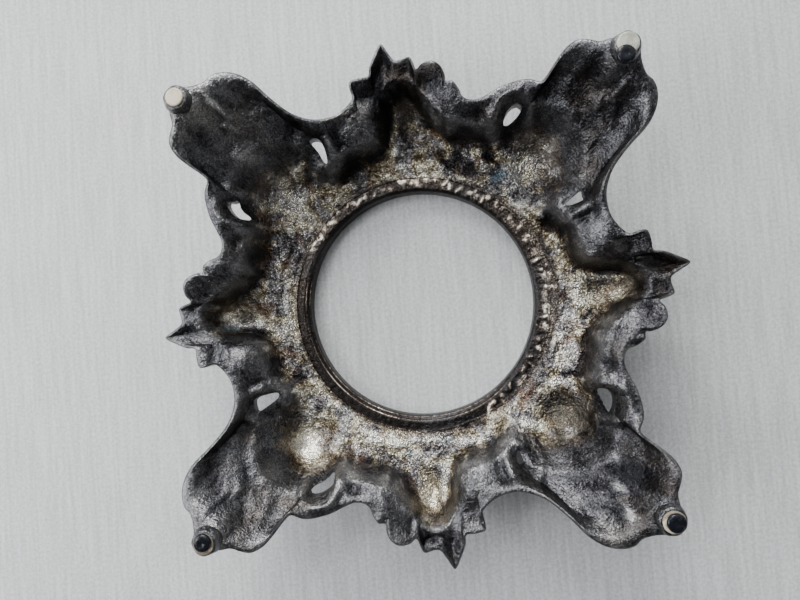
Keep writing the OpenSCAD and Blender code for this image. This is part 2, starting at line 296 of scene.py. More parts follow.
def rough(x, y, size, seed):
    """Smooth noise from -1 to 1 over the plan, with features of about that size."""
    flat = [noise.noise(Vector((px / size, py / size, seed))) for px, py in zip(x.ravel(), y.ravel())]
    return np.array(flat).reshape(x.shape)


outer_line = rim(0)
upper_line = rim(RIM_INSET)
# Columns leave the collar evenly, by their share of the way round the rim.
spacing = np.hypot(*(np.roll(outer_line[:, :2], -1, 0) - outer_line[:, :2]).T)
travel = np.concatenate([[0], np.cumsum(spacing)[:-1]]) / spacing.sum()
rim_angle = np.unwrap(np.arctan2(outer_line[:, 1], outer_line[:, 0]))
collar_angle = -2 * np.pi * travel
collar_angle += (rim_angle - collar_angle).mean()

upper_x, upper_y, v = columns_of(upper_line, collar_angle, TOP_ROWS, BAND_R)
upper_gap = gap(upper_x, upper_y)
upper_z = height(upper_x, upper_y)
low_part = 1 - smooth(-2.0, 2.5, upper_gap)
# The bowl under each knee is smoother than the rest.
knee = 0 * upper_x
for quarter in range(4):
    knee = knee + hump(*turned(upper_x, upper_y, quarter), 56.0, 58.0, 13.0, 12.0, 0, 2.0)
# Lumps and creases of the low part, soft swells of the skin above it, and the grain of the casting.
pillow = (
    1.7 * np.abs(rough(upper_x, upper_y, 10.0, 1.0))
    + 0.5 * np.abs(rough(upper_x, upper_y, 5.0, 2.0))
    - 0.5
)
lumps = pillow + 0.5 * rough(upper_x, upper_y, 11.0, 9.0)
grain = 0.26 * rough(upper_x, upper_y, 2.1, 3.0) + 0.16 * rough(upper_x, upper_y, 1.1, 4.0)
crease = (
    np.exp(-((rough(upper_x, upper_y, 9.0, 6.0) / 0.05) ** 2))
    * smooth(-0.1, 0.3, rough(upper_x, upper_y, 14.0, 8.0))
)
lumps = (lumps * (0.22 + 0.78 * low_part) - 0.7 * crease * low_part) * (1 - 0.8 * knee)
swell = 1.1 * rough(upper_x, upper_y, 13.0, 21.0) + 0.5 * rough(upper_x, upper_y, 6.5, 22.0)
lumps = lumps + swell * (1 - low_part) * (1 - knee)
# The shell meets the rim line, and a groove runs round the band.
edge = smooth(0.82, 1.0, v)
upper_z = upper_z * (1 - edge) + upper_line[:, 2][None] * edge
upper_z = upper_z - 0.8 * np.exp(-(((np.hypot(upper_x, upper_y) - 58.4) / 0.9) ** 2))
upper_z = upper_z + (lumps + grain) * smooth(0, 0.04, v) * (1 - 0.7 * smooth(0.9, 1.0, v))


def ornament(x, y):
    """Raised decoration on the outer face, which faces the floor: fans, scrolls, bosses and leaf veins."""
    z = 0 * x
    for quarter in range(4):
        tx, ty = turned(x, y, quarter)
        out = np.hypot(tx, ty - 58)
        fan = np.degrees(np.arctan2(tx, ty - 58))
        ribs = np.sqrt(0.5 + 0.5 * np.cos(np.radians(fan * 360 / 13)))
        z = z + (
            1.7 * ribs * smooth(13, 20, out) * (1 - smooth(44, 50, out)) * np.exp(-np.abs(fan / 34) ** 5)
        )
        z = z + 2.0 * ridge(tx, ty, 45.5, 71.6, 9.0, -60, 235, 1.9)
        z = z + 1.8 * ridge(tx, ty, -38.0, 69.0, 9.4, -20, 250, 1.9)
        z = z + 2.0 * ridge(tx, ty, -71.0, 83.0, 10.5, -60, 210, 2.0)
        z = z + 2.0 * hump(tx, ty, -71.0, 83.0, 4.2, 4.2, 0, 1.4)
        z = z + 1.8 * ridge(tx, ty, 73.0, 78.0, 8.5, -120, 100, 1.9)
        u = (tx + ty) / math.sqrt(2)
        across = (tx - ty) / math.sqrt(2)
        veins = 0.5 + 0.5 * np.cos(2 * np.pi * (u * 0.9 - np.abs(across)) / 7.5)
        z = z + (
            1.1 * veins * np.exp(-np.abs(across / 11) ** 4)
            * smooth(66, 74, u) * (1 - smooth(108, 114, u))
        )
        z = z + 1.5 * np.exp(-((across / 1.7) ** 2)) * smooth(64, 72, u) * (1 - smooth(108, 114, u))
    return z


# The outer face lies one wall below the hollow side, further down where that side is steep.
PROBE = 1.5
under_x, under_y, v_under = columns_of(outer_line, collar_angle, UNDER_ROWS, BAND_R)
slope_x = (height(under_x + PROBE, under_y) - height(under_x - PROBE, under_y)) / (2 * PROBE)
slope_y = (height(under_x, under_y + PROBE) - height(under_x, under_y - PROBE)) / (2 * PROBE)
steep = np.minimum(1.9, np.sqrt(1 + slope_x**2 + slope_y**2))
edge = smooth(0.82, 1.0, v_under)
under_z = height(under_x, under_y) * (1 - edge) + outer_line[:, 2][None] * edge
under_z = under_z - WALL * steep * (1 - edge) - RIM_DROP * edge
under_z = under_z - (
    ornament(under_x, under_y) * (1 - smooth(0.93, 1.0, v_under)) * smooth(0.05, 0.2, v_under)
)
# a groove behind the rim, and a face that stays clear of the floor
under_z = under_z - 1.2 * np.exp(-(((v_under - 0.95) / 0.03) ** 2))
under_z = np.maximum(
    0.8,
    under_z + 0.35 * rough(under_x, under_y, 2.6, 5.0) * smooth(0, 0.1, v_under) * (1 - edge),
)

# The cross-section of the collar, from the floor up the bore and out over the band.
COLLAR_LINE = [
    (BORE_R, 0.0), (BORE_R, 2.4), (BORE_R, 4.8), (BORE_R, 6.7), (BORE_R + 0.3, 7.1),
    (BORE_R + 0.9, 7.2), (BORE_R + 1.15, 7.9), (BORE_R + 1.5, 8.0), (BORE_R + 2.0, 8.0),
    (BORE_R + LEDGE_W, COLLAR_H), (BORE_R + 2.9, 8.55), (BORE_R + 3.6, COLLAR_H),
    (BORE_R + 4.3, COLLAR_H), (BORE_R + 5.0, COLLAR_H), (BORE_R + COLLAR_W, COLLAR_H),
]
# The stepped ledge next to the bore is widest at the lower left and nearly gone at the upper right.
ledge = 0.22 + 0.78 * smooth(-0.5, 0.4, -np.sin(collar_angle + 0.785))[None]
from_bore = np.array([p[0] for p in COLLAR_LINE])[:, None] - BORE_R
flat = (COLLAR_W - LEDGE_W * ledge) / (COLLAR_W - LEDGE_W)
past_ledge = COLLAR_W - (COLLAR_W - from_bore) * flat
collar_r = BORE_R + np.where(from_bore <= LEDGE_W, from_bore * ledge, past_ledge)
collar_z = np.array([p[1] for p in COLLAR_LINE])[:, None] + 0 * collar_angle[None]
collar_x = collar_r * np.cos(collar_angle)[None]
collar_y = collar_r * np.sin(collar_angle)[None]
# the band is rougher on its upper side
band = smooth(2.2, 3.2, from_bore)
upward = smooth(-0.5, 0.3, np.sin(collar_angle + 0.35))[None]
collar_z = collar_z + band * (0.06 + 0.30 * upward) * rough(collar_x, collar_y, 1.6, 7.0)

# Worn nubs cast on the band along its upper and right arcs.
marks = np.random.default_rng(7)
nub_list = []
bearing = -66.0
while bearing < 148:
    bearing += marks.uniform(1.2, 5.6)
    a = math.radians(bearing)
    reach = BORE_R + marks.uniform(2.4, 5.6) + 1.2 * math.exp(-((bearing - 5) / 40) ** 2)
    shape = (marks.uniform(0.8, 2.4), marks.uniform(0.55, 1.25), bearing + marks.uniform(-90, 90))
    nub_list.append((marks.uniform(0.35, 1.1), reach * math.cos(a), reach * math.sin(a), *shape))


def nubs(x, y):
    z = 0 * x
    for lift, cx, cy, length, width, lean in nub_list:
        z = z + lift * hump(x, y, cx, cy, length, width, lean, 1.2)
    return z


collar_nubs = nubs(collar_x, collar_y) * band
outer_nubs = nubs(upper_x[:8], upper_y[:8])
collar_z = collar_z + collar_nubs
upper_z[:8] += 0.8 * outer_nubs

# Rounded rim between the upper and the lower edge.
rim_rows = []
for t in (0.25, 0.5, 0.75):
    bulge = 0.35 * math.sin(math.pi * t)
    line = rim(RIM_INSET * (1 - t) - bulge)
    drop = RIM_DROP * t - bulge
    rim_rows.append((line[:, 0], line[:, 1], line[:, 2] - drop))

# The last rows close the shell under the collar.
closing = [
    (np.cos(collar_angle) * BAND_R, np.sin(collar_angle) * BAND_R, 1.0 + 0 * collar_angle),
    (np.cos(collar_angle) * (BAND_R - 1), np.sin(collar_angle) * (BAND_R - 1), 0 * collar_angle),
]

rows_x = [*collar_x, *upper_x, *[r[0] for r in rim_rows], *under_x[::-1], *[c[0] for c in closing]]
rows_y = [*collar_y, *upper_y, *[r[1] for r in rim_rows], *under_y[::-1], *[c[1] for c in closing]]
rows_z = [*collar_z, *upper_z, *[r[2] for r in rim_rows], *under_z[::-1], *[c[2] for c in closing]]
points = np.stack([np.array(rows_x), np.array(rows_y), np.array(rows_z)], -1)


def grid_mesh(name, points):
    """A closed mesh from rows of points that run round both ways."""
    rows, cols = points.shape[:2]
    i, j = np.meshgrid(np.arange(rows), np.arange(cols), indexing="ij")
    ni, nj = (i + 1) % rows, (j + 1) % cols
    quads = np.stack([i * cols + j, i * cols + nj, ni * cols + nj, ni * cols + j], -1).reshape(-1, 4)
    mesh = bpy.data.meshes.new(name)
    mesh.vertices.add(rows * cols)
    mesh.vertices.foreach_set("co", (points.reshape(-1, 3) * MM).astype(np.float32).ravel())
    mesh.loops.add(quads.size)
    mesh.loops.foreach_set("vertex_index", quads.astype(np.int32).ravel())
    mesh.polygons.add(len(quads))
    mesh.polygons.foreach_set("loop_start", np.arange(0, quads.size, 4, dtype=np.int32))
    mesh.update(calc_edges=True)
    mesh.validate()
    return mesh


def add(name, mesh):
    o = bpy.data.objects.new(name, mesh)
    bpy.context.scene.collection.objects.link(o)
    mesh.polygons.foreach_set("use_smooth", [True] * len(mesh.polygons))
    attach(o, "root")
    return o


def lathe(name, line, sides, place, wobble, seed):
    """A closed solid of revolution about a vertical axis, slightly out of round."""
    bm = bmesh.new()
    spin = np.linspace(0, 2 * math.pi, sides, endpoint=False)
    rings = []
    for r, z in line:
        ring = []
        for a in spin:
            spot = Vector((1.7 * math.cos(a), 1.7 * math.sin(a), seed + 0.05 * z))
            swell = 1 + wobble * noise.noise(spot)
            ring.append(bm.verts.new((
                (place[0] + r * swell * math.cos(a)) * MM,
                (place[1] + r * swell * math.sin(a)) * MM,
                (place[2] + z) * MM,
            )))
        rings.append(ring)
    for low_ring, high_ring in zip(rings, rings[1:]):
        for i in range(sides):
            k = (i + 1) % sides
            bm.faces.new((low_ring[i], low_ring[k], high_ring[k], high_ring[i]))
    bm.faces.new(rings[0][::-1])
    bm.faces.new(rings[-1])
    mesh = bpy.data.meshes.new(name)
    bm.to_mesh(mesh)
    bm.free()
    return mesh


def applied(o):
    """Turns the modifiers of an object into its mesh."""
    graph = bpy.context.evaluated_depsgraph_get()
    mesh = bpy.data.meshes.new_from_object(o.evaluated_get(graph))
    o.modifiers.clear()
    o.data = mesh
    mesh.polygons.foreach_set("use_smooth", [True] * len(mesh.polygons))


# Pierced slots: a centre for each kind, and the outline of each round its centre, clockwise by side.
SLOT_RIGHT = (45.0, 73.2)
SLOT_LEFT = (-37.2, 68.4)
RIGHT_OUTLINES = [
    [(-4.0, -3.0), (-2.4, 0.9), (1.4, 3.5), (4.5, 1.9), (2.2, -0.7), (-1.7, -2.7)],
    [(-4.8, -3.4), (-4.2, 0.0), (-1.5, 1.9), (2.5, 2.1), (5.0, 0.9), (6.4, -0.3), (4.0, -0.8),
     (0.5, -1.5), (-2.2, -3.0)],
    [(-4.2, -4.6), (-5.6, -1.7), (-2.7, 1.4), (2.7, 3.6), (5.8, 2.1), (4.2, 0.2), (-0.4, -1.0)],
    [(-4.5, -3.3), (-3.8, -0.2), (-0.7, 2.6), (3.2, 3.5), (3.4, 1.7), (5.0, 0.1), (0.1, -0.6),
     (-2.7, -3.6)],
]
LEFT_OUTLINES = [
    [(-4.4, 4.2), (-0.8, 4.7), (2.3, 2.7), (2.8, -4.6), (1.6, -5.2), (-0.3, -2.3), (-1.4, 0.8)],
    [(-3.9, 3.1), (-1.6, 3.2), (1.0, 3.6), (2.5, -1.5), (2.2, -3.8), (1.0, -3.6), (-1.0, -0.7)],
    [(-1.9, 1.8), (0.8, 2.8), (2.0, -0.7), (0.6, -4.2), (-0.4, -2.2), (-0.9, 0.3)],
    [(-5.0, 3.9), (-2.0, 4.7), (1.9, 3.9), (2.9, -1.5), (3.2, -4.8), (1.1, -5.2), (-2.0, -0.7)],
]


def slot_cutter(centre, outline, quarter):
    """A tall prism over one slot, a little rounded at its corners."""
    a = math.radians(-90 * quarter)
    ring = []
    for i, p in enumerate(outline):
        before, after = outline[i - 1], outline[(i + 1) % len(outline)]
        for f in (-0.3, 0.0, 0.3):
            q = after if f > 0 else before
            pull = 0.12 if f == 0 else 0.0
            x = centre[0] + p[0] * (1 - abs(f)) + q[0] * abs(f) - pull * (2 * p[0] - before[0] - after[0])
            y = centre[1] + p[1] * (1 - abs(f)) + q[1] * abs(f) - pull * (2 * p[1] - before[1] - after[1])
            ring.append((x * math.cos(a) - y * math.sin(a), x * math.sin(a) + y * math.cos(a)))
    bm = bmesh.new()
    low_ring = [bm.verts.new((x * MM, y * MM, 0.0)) for x, y in ring]
    high_ring = [bm.verts.new((x * MM, y * MM, 0.07)) for x, y in ring]
    for i in range(len(ring)):
        k = (i + 1) % len(ring)
        bm.faces.new((low_ring[i], low_ring[k], high_ring[k], high_ring[i]))
    bm.faces.new(low_ring)
    bm.faces.new(high_ring)
    bmesh.ops.recalc_face_normals(bm, faces=bm.faces)
    mesh = bpy.data.meshes.new("cutter")
    bm.to_mesh(mesh)
    bm.free()
    return mesh


def joined(name, meshes):
    bm = bmesh.new()
    for mesh in meshes:
        bm.from_mesh(mesh)
    out = bpy.data.meshes.new(name)
    bm.to_mesh(out)
    bm.free()
    return out


casting_mesh = grid_mesh("cast_base", points)

# Lighter and darker patches of each side, clockwise from the top one: amount, centre, half sizes, turn.
# Some are mottling of the metal; others are painted highlights and painted shade, noted in each list.
COLOUR_AND_LIGHT_PATCHES = [
    [
        # painted light on the left palm at -71, 80, a painted highlight on its ridge at -73, 84, and
        # painted shade over the crest at 3, 99
        (0.8, -71, 80, 17, 13, 0), (2.0, -73, 84, 4, 1.3, -50), (-1.9, 3, 99, 32, 11, 0),
        (0.9, -19, 79, 5, 8, -28), (0.8, -32, 69, 2, 3.5, 10), (0.45, 0, 82, 3.5, 7, 0),
        (0.9, -5.5, 69, 1.6, 2.6, -20), (0.8, 6, 56.5, 15, 1.8, -6), (0.75, 52, 58, 11, 9, 0),
        (0.5, 61, 62, 2.0, 5, 40), (0.5, -54, 60, 7, 7, 0), (0.3, 12, 70, 4, 4, 0),
        (0.4, 2, 62, 9, 2.5, 0), (-0.1, -22, 62, 12, 4.6, 14), (-0.6, 22, 60.5, 11, 3.6, -34),
        (-0.9, -9, 80, 2.4, 10, -14), (-0.6, 4, 66, 7, 1.4, -6), (-0.6, 36, 61, 2.2, 4, 30),
        (-0.6, -47, 58, 4, 3, 20), (-0.5, -60, 62, 5, 2, 40), (0.3, -19, 78, 4, 6, -28),
    ],
    [
        # painted shade over the crest at 6, 97, on both palms at 74, 78 and -74, 74, and in the knee bowl
        # at 55, 58
        (-0.9, 6, 97, 26, 11, 0), (-0.7, 74, 78, 18, 18, 0), (-0.4, -74, 74, 16, 18, 0),
        (0.9, 2, 82, 3.2, 7, 0), (0.7, 2, 70, 8, 6, 0), (0.9, 20, 62, 15, 4.5, -10),
        (0.8, 39, 57, 3, 6, 0), (0.4, 58, 61, 2.6, 5, 35), (-1.0, 55, 58, 13, 12, 0),
        (0.3, -54, 55, 9, 9, 0), (0.4, -20, 62, 8, 3, 0), (0.7, -22, 75, 6, 3, -30),
        (0.7, -29, 75, 2, 3, 0), (0.5, -64, 88, 6, 4, 0), (0.5, -42, 70, 4, 4, 0),
        (-0.7, 36.2, 62, 1.2, 5, -6), (-0.9, -31, 57, 5, 3, -20), (-0.8, -8, 80, 2.2, 9, -14),
        (-0.6, 45, 59, 3, 3, 0),
    ],
    [
        # painted highlights on the palm at -72.3, 84 and -72.5, 66.5, in the channel cup at 1, 86 and in
        # the knee bowl at 56, 61
        (2.6, -72.3, 84, 1.7, 2.7, -15), (1.4, -71, 76, 2.6, 1.3, -10), (-1.0, -75, 71.5, 6, 2.2, -8),
        (-1.2, -64, 77, 6, 0.9, 8), (0.7, -66, 89, 6, 4.5, -20), (1.2, -72.5, 66.5, 1.3, 1.3, 0),
        (-0.5, -85, 74, 5, 8, 0), (1.1, 1, 86, 2.5, 3.4, 0), (0.7, -5, 76, 2.4, 7, -20),
        (0.5, 8, 70, 7, 6, 0), (0.8, -4, 62, 14, 2.5, 0), (0.8, -22, 62, 9, 3, 10),
        (1.0, -45, 56, 9, 3.6, -20), (0.9, -58, 60, 3, 4, 30), (2.7, 56, 61, 4.8, 3.2, -42),
        (0.9, 63, 57, 1.8, 4, 20), (0.8, 33, 69, 1.3, 4, 10), (0.7, 20, 60, 12, 2.6, -10),
        (0.5, 45, 58, 8, 4, 0), (-1.2, 1.6, 97.6, 4.4, 1.4, 12), (-0.6, -9, 79, 2, 9, -16),
        (-0.5, 10, 64, 8, 1, 0), (-0.6, -20, 55.5, 10, 1.4, 12),
    ],
    [
        # a painted highlight in the channel cup at 0, 86
        (1.2, 0, 86, 3.4, 3.4, 0), (0.5, -3, 76, 2.6, 7, 0), (0.5, -8, 68, 3, 5, 0),
        (0.6, 2, 60, 9, 2.2, 0), (1.1, -61, 57, 2.4, 5, -30), (0.6, -52, 55, 8, 5, 0),
        (0.8, 52, 58, 9, 9, 0), (0.4, 22, 66, 7, 1.8, -20), (0.6, -70, 88, 4, 2.4, 0),
        (0.4, 46, 51, 6, 4, 0), (-0.8, -12, 80, 2, 10, -8), (-0.7, 39, 70, 3, 4, 0),
        (-0.6, 9, 64, 2, 4, 0), (-0.6, -25, 58, 10, 1.5, 16), (-0.6, -66, 82, 9, 1.5, -20),
        (-0.5, 30, 56, 8, 1.4, -24),
    ],
]
# painted light and shade by side, clockwise from the top one: the top and right sides darker, the bottom
# and left ones lighter
SIDE_LIGHT_AND_SHADE = [-0.25, -0.15, 0.10, 0.05]

# Masks that the metal's material reads, one value to each point of the grid. Rows before first
# are the collar, rows up to last are the hollow side, and the rest are the rim and the outer face.
grid_z = points[..., 2]
first = len(COLLAR_LINE)
last = first + TOP_ROWS + 1
# how far a point lies below its neighbours: painted shade, darkening the hollows, and painted light,
# lightening the ridges
SHIFTS = (1, 2, 4, 7)
near = np.zeros_like(grid_z)
for shift in SHIFTS:
    near += np.roll(grid_z, shift, 1) + np.roll(grid_z, -shift, 1)
    near += np.roll(grid_z, shift, 0) + np.roll(grid_z, -shift, 0)
cavity_shade_and_light = np.zeros_like(grid_z)
cavity_shade_and_light[2:last] = np.clip((near / (4 * len(SHIFTS)) - grid_z) * 0.75, -1, 0.8)[2:last]
# painted shade on the bore wall and the inner edge of the collar
cavity_shade_and_light[:6] = 0.3
# rim: the worn edge
rim_mask = np.zeros_like(grid_z)
rim_mask[first:last] = smooth(0.975, 1.0, v)
rim_mask[last : last + 3] = 1.0
rim_mask[last + 3 : last + 6] = 0.7
# inner: the low part, with a ragged border
inner_mask = np.zeros_like(grid_z)
edge_noise = 3.0 * rough(upper_x, upper_y, 5.0, 11.0)
inner_mask[first:last] = 1 - smooth(-3.5 - 2.5 * knee, 3.2 + 2.5 * knee, upper_gap + edge_noise)
# band: the bronze collar, which spills outward by some mm, most of all on the right and at the bottom
SPILL_ROWS = 10


def off_bearing(centre):
    """Degrees round the axis between that bearing and each column."""
    return (np.degrees(collar_angle) + 180 - centre) % 360 - 180


near_x = upper_x[:SPILL_ROWS]
near_y = upper_y[:SPILL_ROWS]
spill = 1.0 + 3.6 * np.exp(-(off_bearing(8) / 34) ** 2)
spill = spill + 1.9 * np.exp(-(off_bearing(-84) / 30) ** 2)
spill = spill + 1.1 * rough(near_x, near_y, 3.0, 14.0)
band_mask = np.zeros_like(grid_z)
band_mask[:first] = 1.0
past_band = np.hypot(near_x, near_y) - BAND_R
band_mask[first : first + SPILL_ROWS] = 1 - smooth(spill - 0.8, spill + 0.8, past_band)
# polish: the smooth knee bowls and channels, clockwise from the top side
KNEE_POLISH = (0.5, 0.6, 1.1, 0.4)
CHANNEL_POLISH = (0.4, 0.6, 0.9, 0.7)
polish = np.zeros_like(grid_z)
for quarter in range(4):
    tx, ty = turned(points[:last, :, 0], points[:last, :, 1], quarter)
    polish[:last] += KNEE_POLISH[quarter] * hump(tx, ty, 57.0, 60.5, 12.5, 11.5, -40, 2.2)
    polish[:last] += CHANNEL_POLISH[quarter] * hump(tx, ty, 0.5, 84.0, 9.5, 8.5, 0, 2.0)
# tone: lighter or darker: painted light and shade by side, patches that are partly mottling and partly
# painted highlights and shade, lighter nubs and ledge lines on the collar, and painted shade on the bore
# wall
tone = np.zeros_like(grid_z)
for quarter in range(4):
    tx, ty = turned(points[:last, :, 0], points[:last, :, 1], quarter)
    share = smooth(-0.35, 0.35, (ty - np.abs(tx)) / np.hypot(tx, ty))
    # painted light and shade by side
    tone[:last] += SIDE_LIGHT_AND_SHADE[quarter] * share
    # patches: mottling of the metal together with painted highlights and painted shade
    for amount, cx, cy, a, b, turn in COLOUR_AND_LIGHT_PATCHES[quarter]:
        tone[:last] += amount * hump(tx, ty, cx, cy, a, b, turn, 1.3)
tone[:first] += collar_nubs * 2.4
tone[first : first + 8] += outer_nubs * 1.8
tone[9:first] -= 0.5 * smooth(-0.1, 0.5, -np.sin(collar_angle + 0.45))
bright = smooth(-0.2, 0.5, rough(collar_x[5:6], collar_y[5:6], 16.0, 13.0)) * smooth(0.3, 0.9, ledge)
tone[4] += 1.0 * bright[0]
tone[8] += 1.4 * bright[0]
tone[5:8] -= 0.9
# painted shade on the bore wall
tone[:4] -= 1.3
tone[4:10] -= 0.9 * (1 - smooth(0.3, 0.9, ledge))
tone[first : first + 5] += 0.35
tone[9 : first + 2] -= 0.35 * smooth(0.2, 0.8, -np.sin(collar_angle))
for label, values in (
    ("cavity_shade_and_light", cavity_shade_and_light), ("rim", rim_mask), ("inner", inner_mask), ("band", band_mask), ("tone", tone),
    ("polish", polish),
):
    layer = casting_mesh.attributes.new(label, "FLOAT", "POINT")
    layer.data.foreach_set("value", values.astype(np.float32).ravel())

cutters = [slot_cutter(SLOT_RIGHT, RIGHT_OUTLINES[k], k) for k in range(4)]
cutters += [slot_cutter(SLOT_LEFT, LEFT_OUTLINES[k], k) for k in range(4)]
cutter = bpy.data.objects.new("cutter", joined("cutter", cutters))
bpy.context.scene.collection.objects.link(cutter)

casting = add("cast_base", casting_mesh)
cut = casting.modifiers.new("slots", "BOOLEAN")
cut.operation = "DIFFERENCE"
cut.solver = "EXACT"
cut.object = cutter
applied(casting)
bpy.data.objects.remove(cutter)
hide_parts("casting")

# Round bosses under the foot tips, each with a soft flange, as part of the same casting.
BOSS = [
    (3.6, -9.0), (4.6, -6.6), (5.3, -4.8), (5.6, -3.6), (5.5, -2.6), (5.15, -1.5), (4.9, -0.7),
    (4.6, -0.15), (4.1, 0.0),
]
pad_centre = {}
for corner in ("nw", "ne", "se", "sw"):
    pad_low, pad_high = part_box("pad_" + corner)
    middle = (pad_low + pad_high) / 2 / MM
    pad_centre[corner] = (middle.x, middle.y)
bosses = []
for seed, corner in enumerate(pad_centre):
    place = (*pad_centre[corner], FOOT_H)
    bosses.append(lathe("boss", BOSS, 40, place, 0.10, 3.1 * seed))
boss_mesh = joined("foot_bosses", bosses)
boss_rim = boss_mesh.attributes.new("rim", "FLOAT", "POINT")
boss_rim.data.foreach_set("value", [1.0] * len(boss_mesh.vertices))
boss_piece = add("foot_bosses", boss_mesh)

# Thin pads and black bumpers.
PAD_R = 4.0
PAD = [(3.5, 0.0), (3.9, 0.1), (PAD_R, 0.35), (3.98, 0.7), (3.75, 0.95), (3.2, 1.0)]
BUMPER = [
    (3.1, 0.0), (3.35, 0.1), (3.4, 0.5), (3.3, 0.95), (3.0, 1.3), (2.4, 1.52), (1.5, 1.6),
    (0.9, 1.5), (0.5, 1.4),
]
pads = []
for seed, corner in enumerate(pad_centre):
    pad_low, pad_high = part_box("pad_" + corner)
    half = (pad_high.x - pad_low.x) / 2 / MM
    line = [(r * half / PAD_R, z) for r, z in PAD]
    mesh = lathe("cream_" + corner, line, 48, (*pad_centre[corner], FOOT_H), 0.03, 5.0 + seed)
    pad = add("cream_" + corner, mesh)
    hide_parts("pad_" + corner)
    pads.append(pad)
stops = []
for seed, corner in enumerate(("ne", "se", "sw")):
    stop_low, stop_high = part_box("bumper_" + corner)
    middle = (stop_low + stop_high) / 2 / MM
    mesh = lathe("stop_" + corner, BUMPER, 48, (middle.x, middle.y, stop_low.z / MM), 0.02, 9.0 + seed)
    stop = add("stop_" + corner, mesh)
    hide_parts("bumper_" + corner)
    stops.append(stop)


# ---------------------------------------------------------------- materials
class Nodes:
    """Short helpers for one material's node tree."""

    def __init__(self, name):
        self.material = bpy.data.materials.new(name)
        self.material.use_nodes = True
        self.tree = self.material.node_tree
        self.shader = self.tree.nodes["Principled BSDF"]
        self.place = self.new("ShaderNodeTexCoord").outputs["Object"]

    def new(self, kind, **settings):
        node = self.tree.nodes.new(kind)
        for key, value in settings.items():
            setattr(node, key, value)
        return node

    def link(self, source, target):
        self.tree.links.new(source, target)

    def put(self, socket, value):
        if hasattr(value, "is_output"):
            self.link(value, socket)
        else:
            socket.default_value = value

    def noise(self, scale, detail, rough=0.6, warp=0.0):
        node = self.new("ShaderNodeTexNoise")
        node.inputs["Scale"].default_value = scale
        node.inputs["Detail"].default_value = detail
        node.inputs["Roughness"].default_value = rough
        node.inputs["Distortion"].default_value = warp
        self.link(self.place, node.inputs["Vector"])
        return node.outputs["Fac"]

    def cells(self, scale, feature="F1"):
        node = self.new("ShaderNodeTexVoronoi", feature=feature)
        node.inputs["Scale"].default_value = scale
        self.link(self.place, node.inputs["Vector"])
        return node.outputs["Distance"]

    def mask(self, name):
        return self.new("ShaderNodeAttribute", attribute_name=name).outputs["Fac"]

    def math(self, operation, a, b=0.0, clamp=False):
        node = self.new("ShaderNodeMath", operation=operation, use_clamp=clamp)
        self.put(node.inputs[0], a)
        self.put(node.inputs[1], b)
        return node.outputs[0]

    def ramp(self, value, low, high, start=0.0, end=1.0):
        node = self.new("ShaderNodeMapRange", interpolation_type="SMOOTHSTEP")
        self.put(node.inputs["Value"], value)
        node.inputs["From Min"].default_value = low
        node.inputs["From Max"].default_value = high
        node.inputs["To Min"].default_value = start
        node.inputs["To Max"].default_value = end
        return node.outputs["Result"]

    def mix(self, factor, a, b):
        node = self.new("ShaderNodeMix", data_type="RGBA")
        self.put(node.inputs["Factor"], factor)
        self.put(node.inputs["A"], (*a, 1) if isinstance(a, tuple) else a)
        self.put(node.inputs["B"], (*b, 1) if isinstance(b, tuple) else b)
        return node.outputs["Result"]

    def stops(self, value, points):
        """Colour by value, through the given points."""
        node = self.new("ShaderNodeValToRGB")
        elements = node.color_ramp.elements
        while len(elements) < len(points):
            elements.new(0.5)
        for element, (at, colour) in zip(elements, points):
            element.position = at
            element.color = (*colour, 1)
        self.link(value, node.inputs["Fac"])
        return node.outputs["Color"]

    def bump(self, height, strength, distance, below=None):
        node = self.new("ShaderNodeBump")
        node.inputs["Strength"].default_value = strength
        node.inputs["Distance"].default_value = distance
        self.link(height, node.inputs["Height"])
        if below is not None:
            self.link(below, node.inputs["Normal"])
        return node.outputs["Normal"]


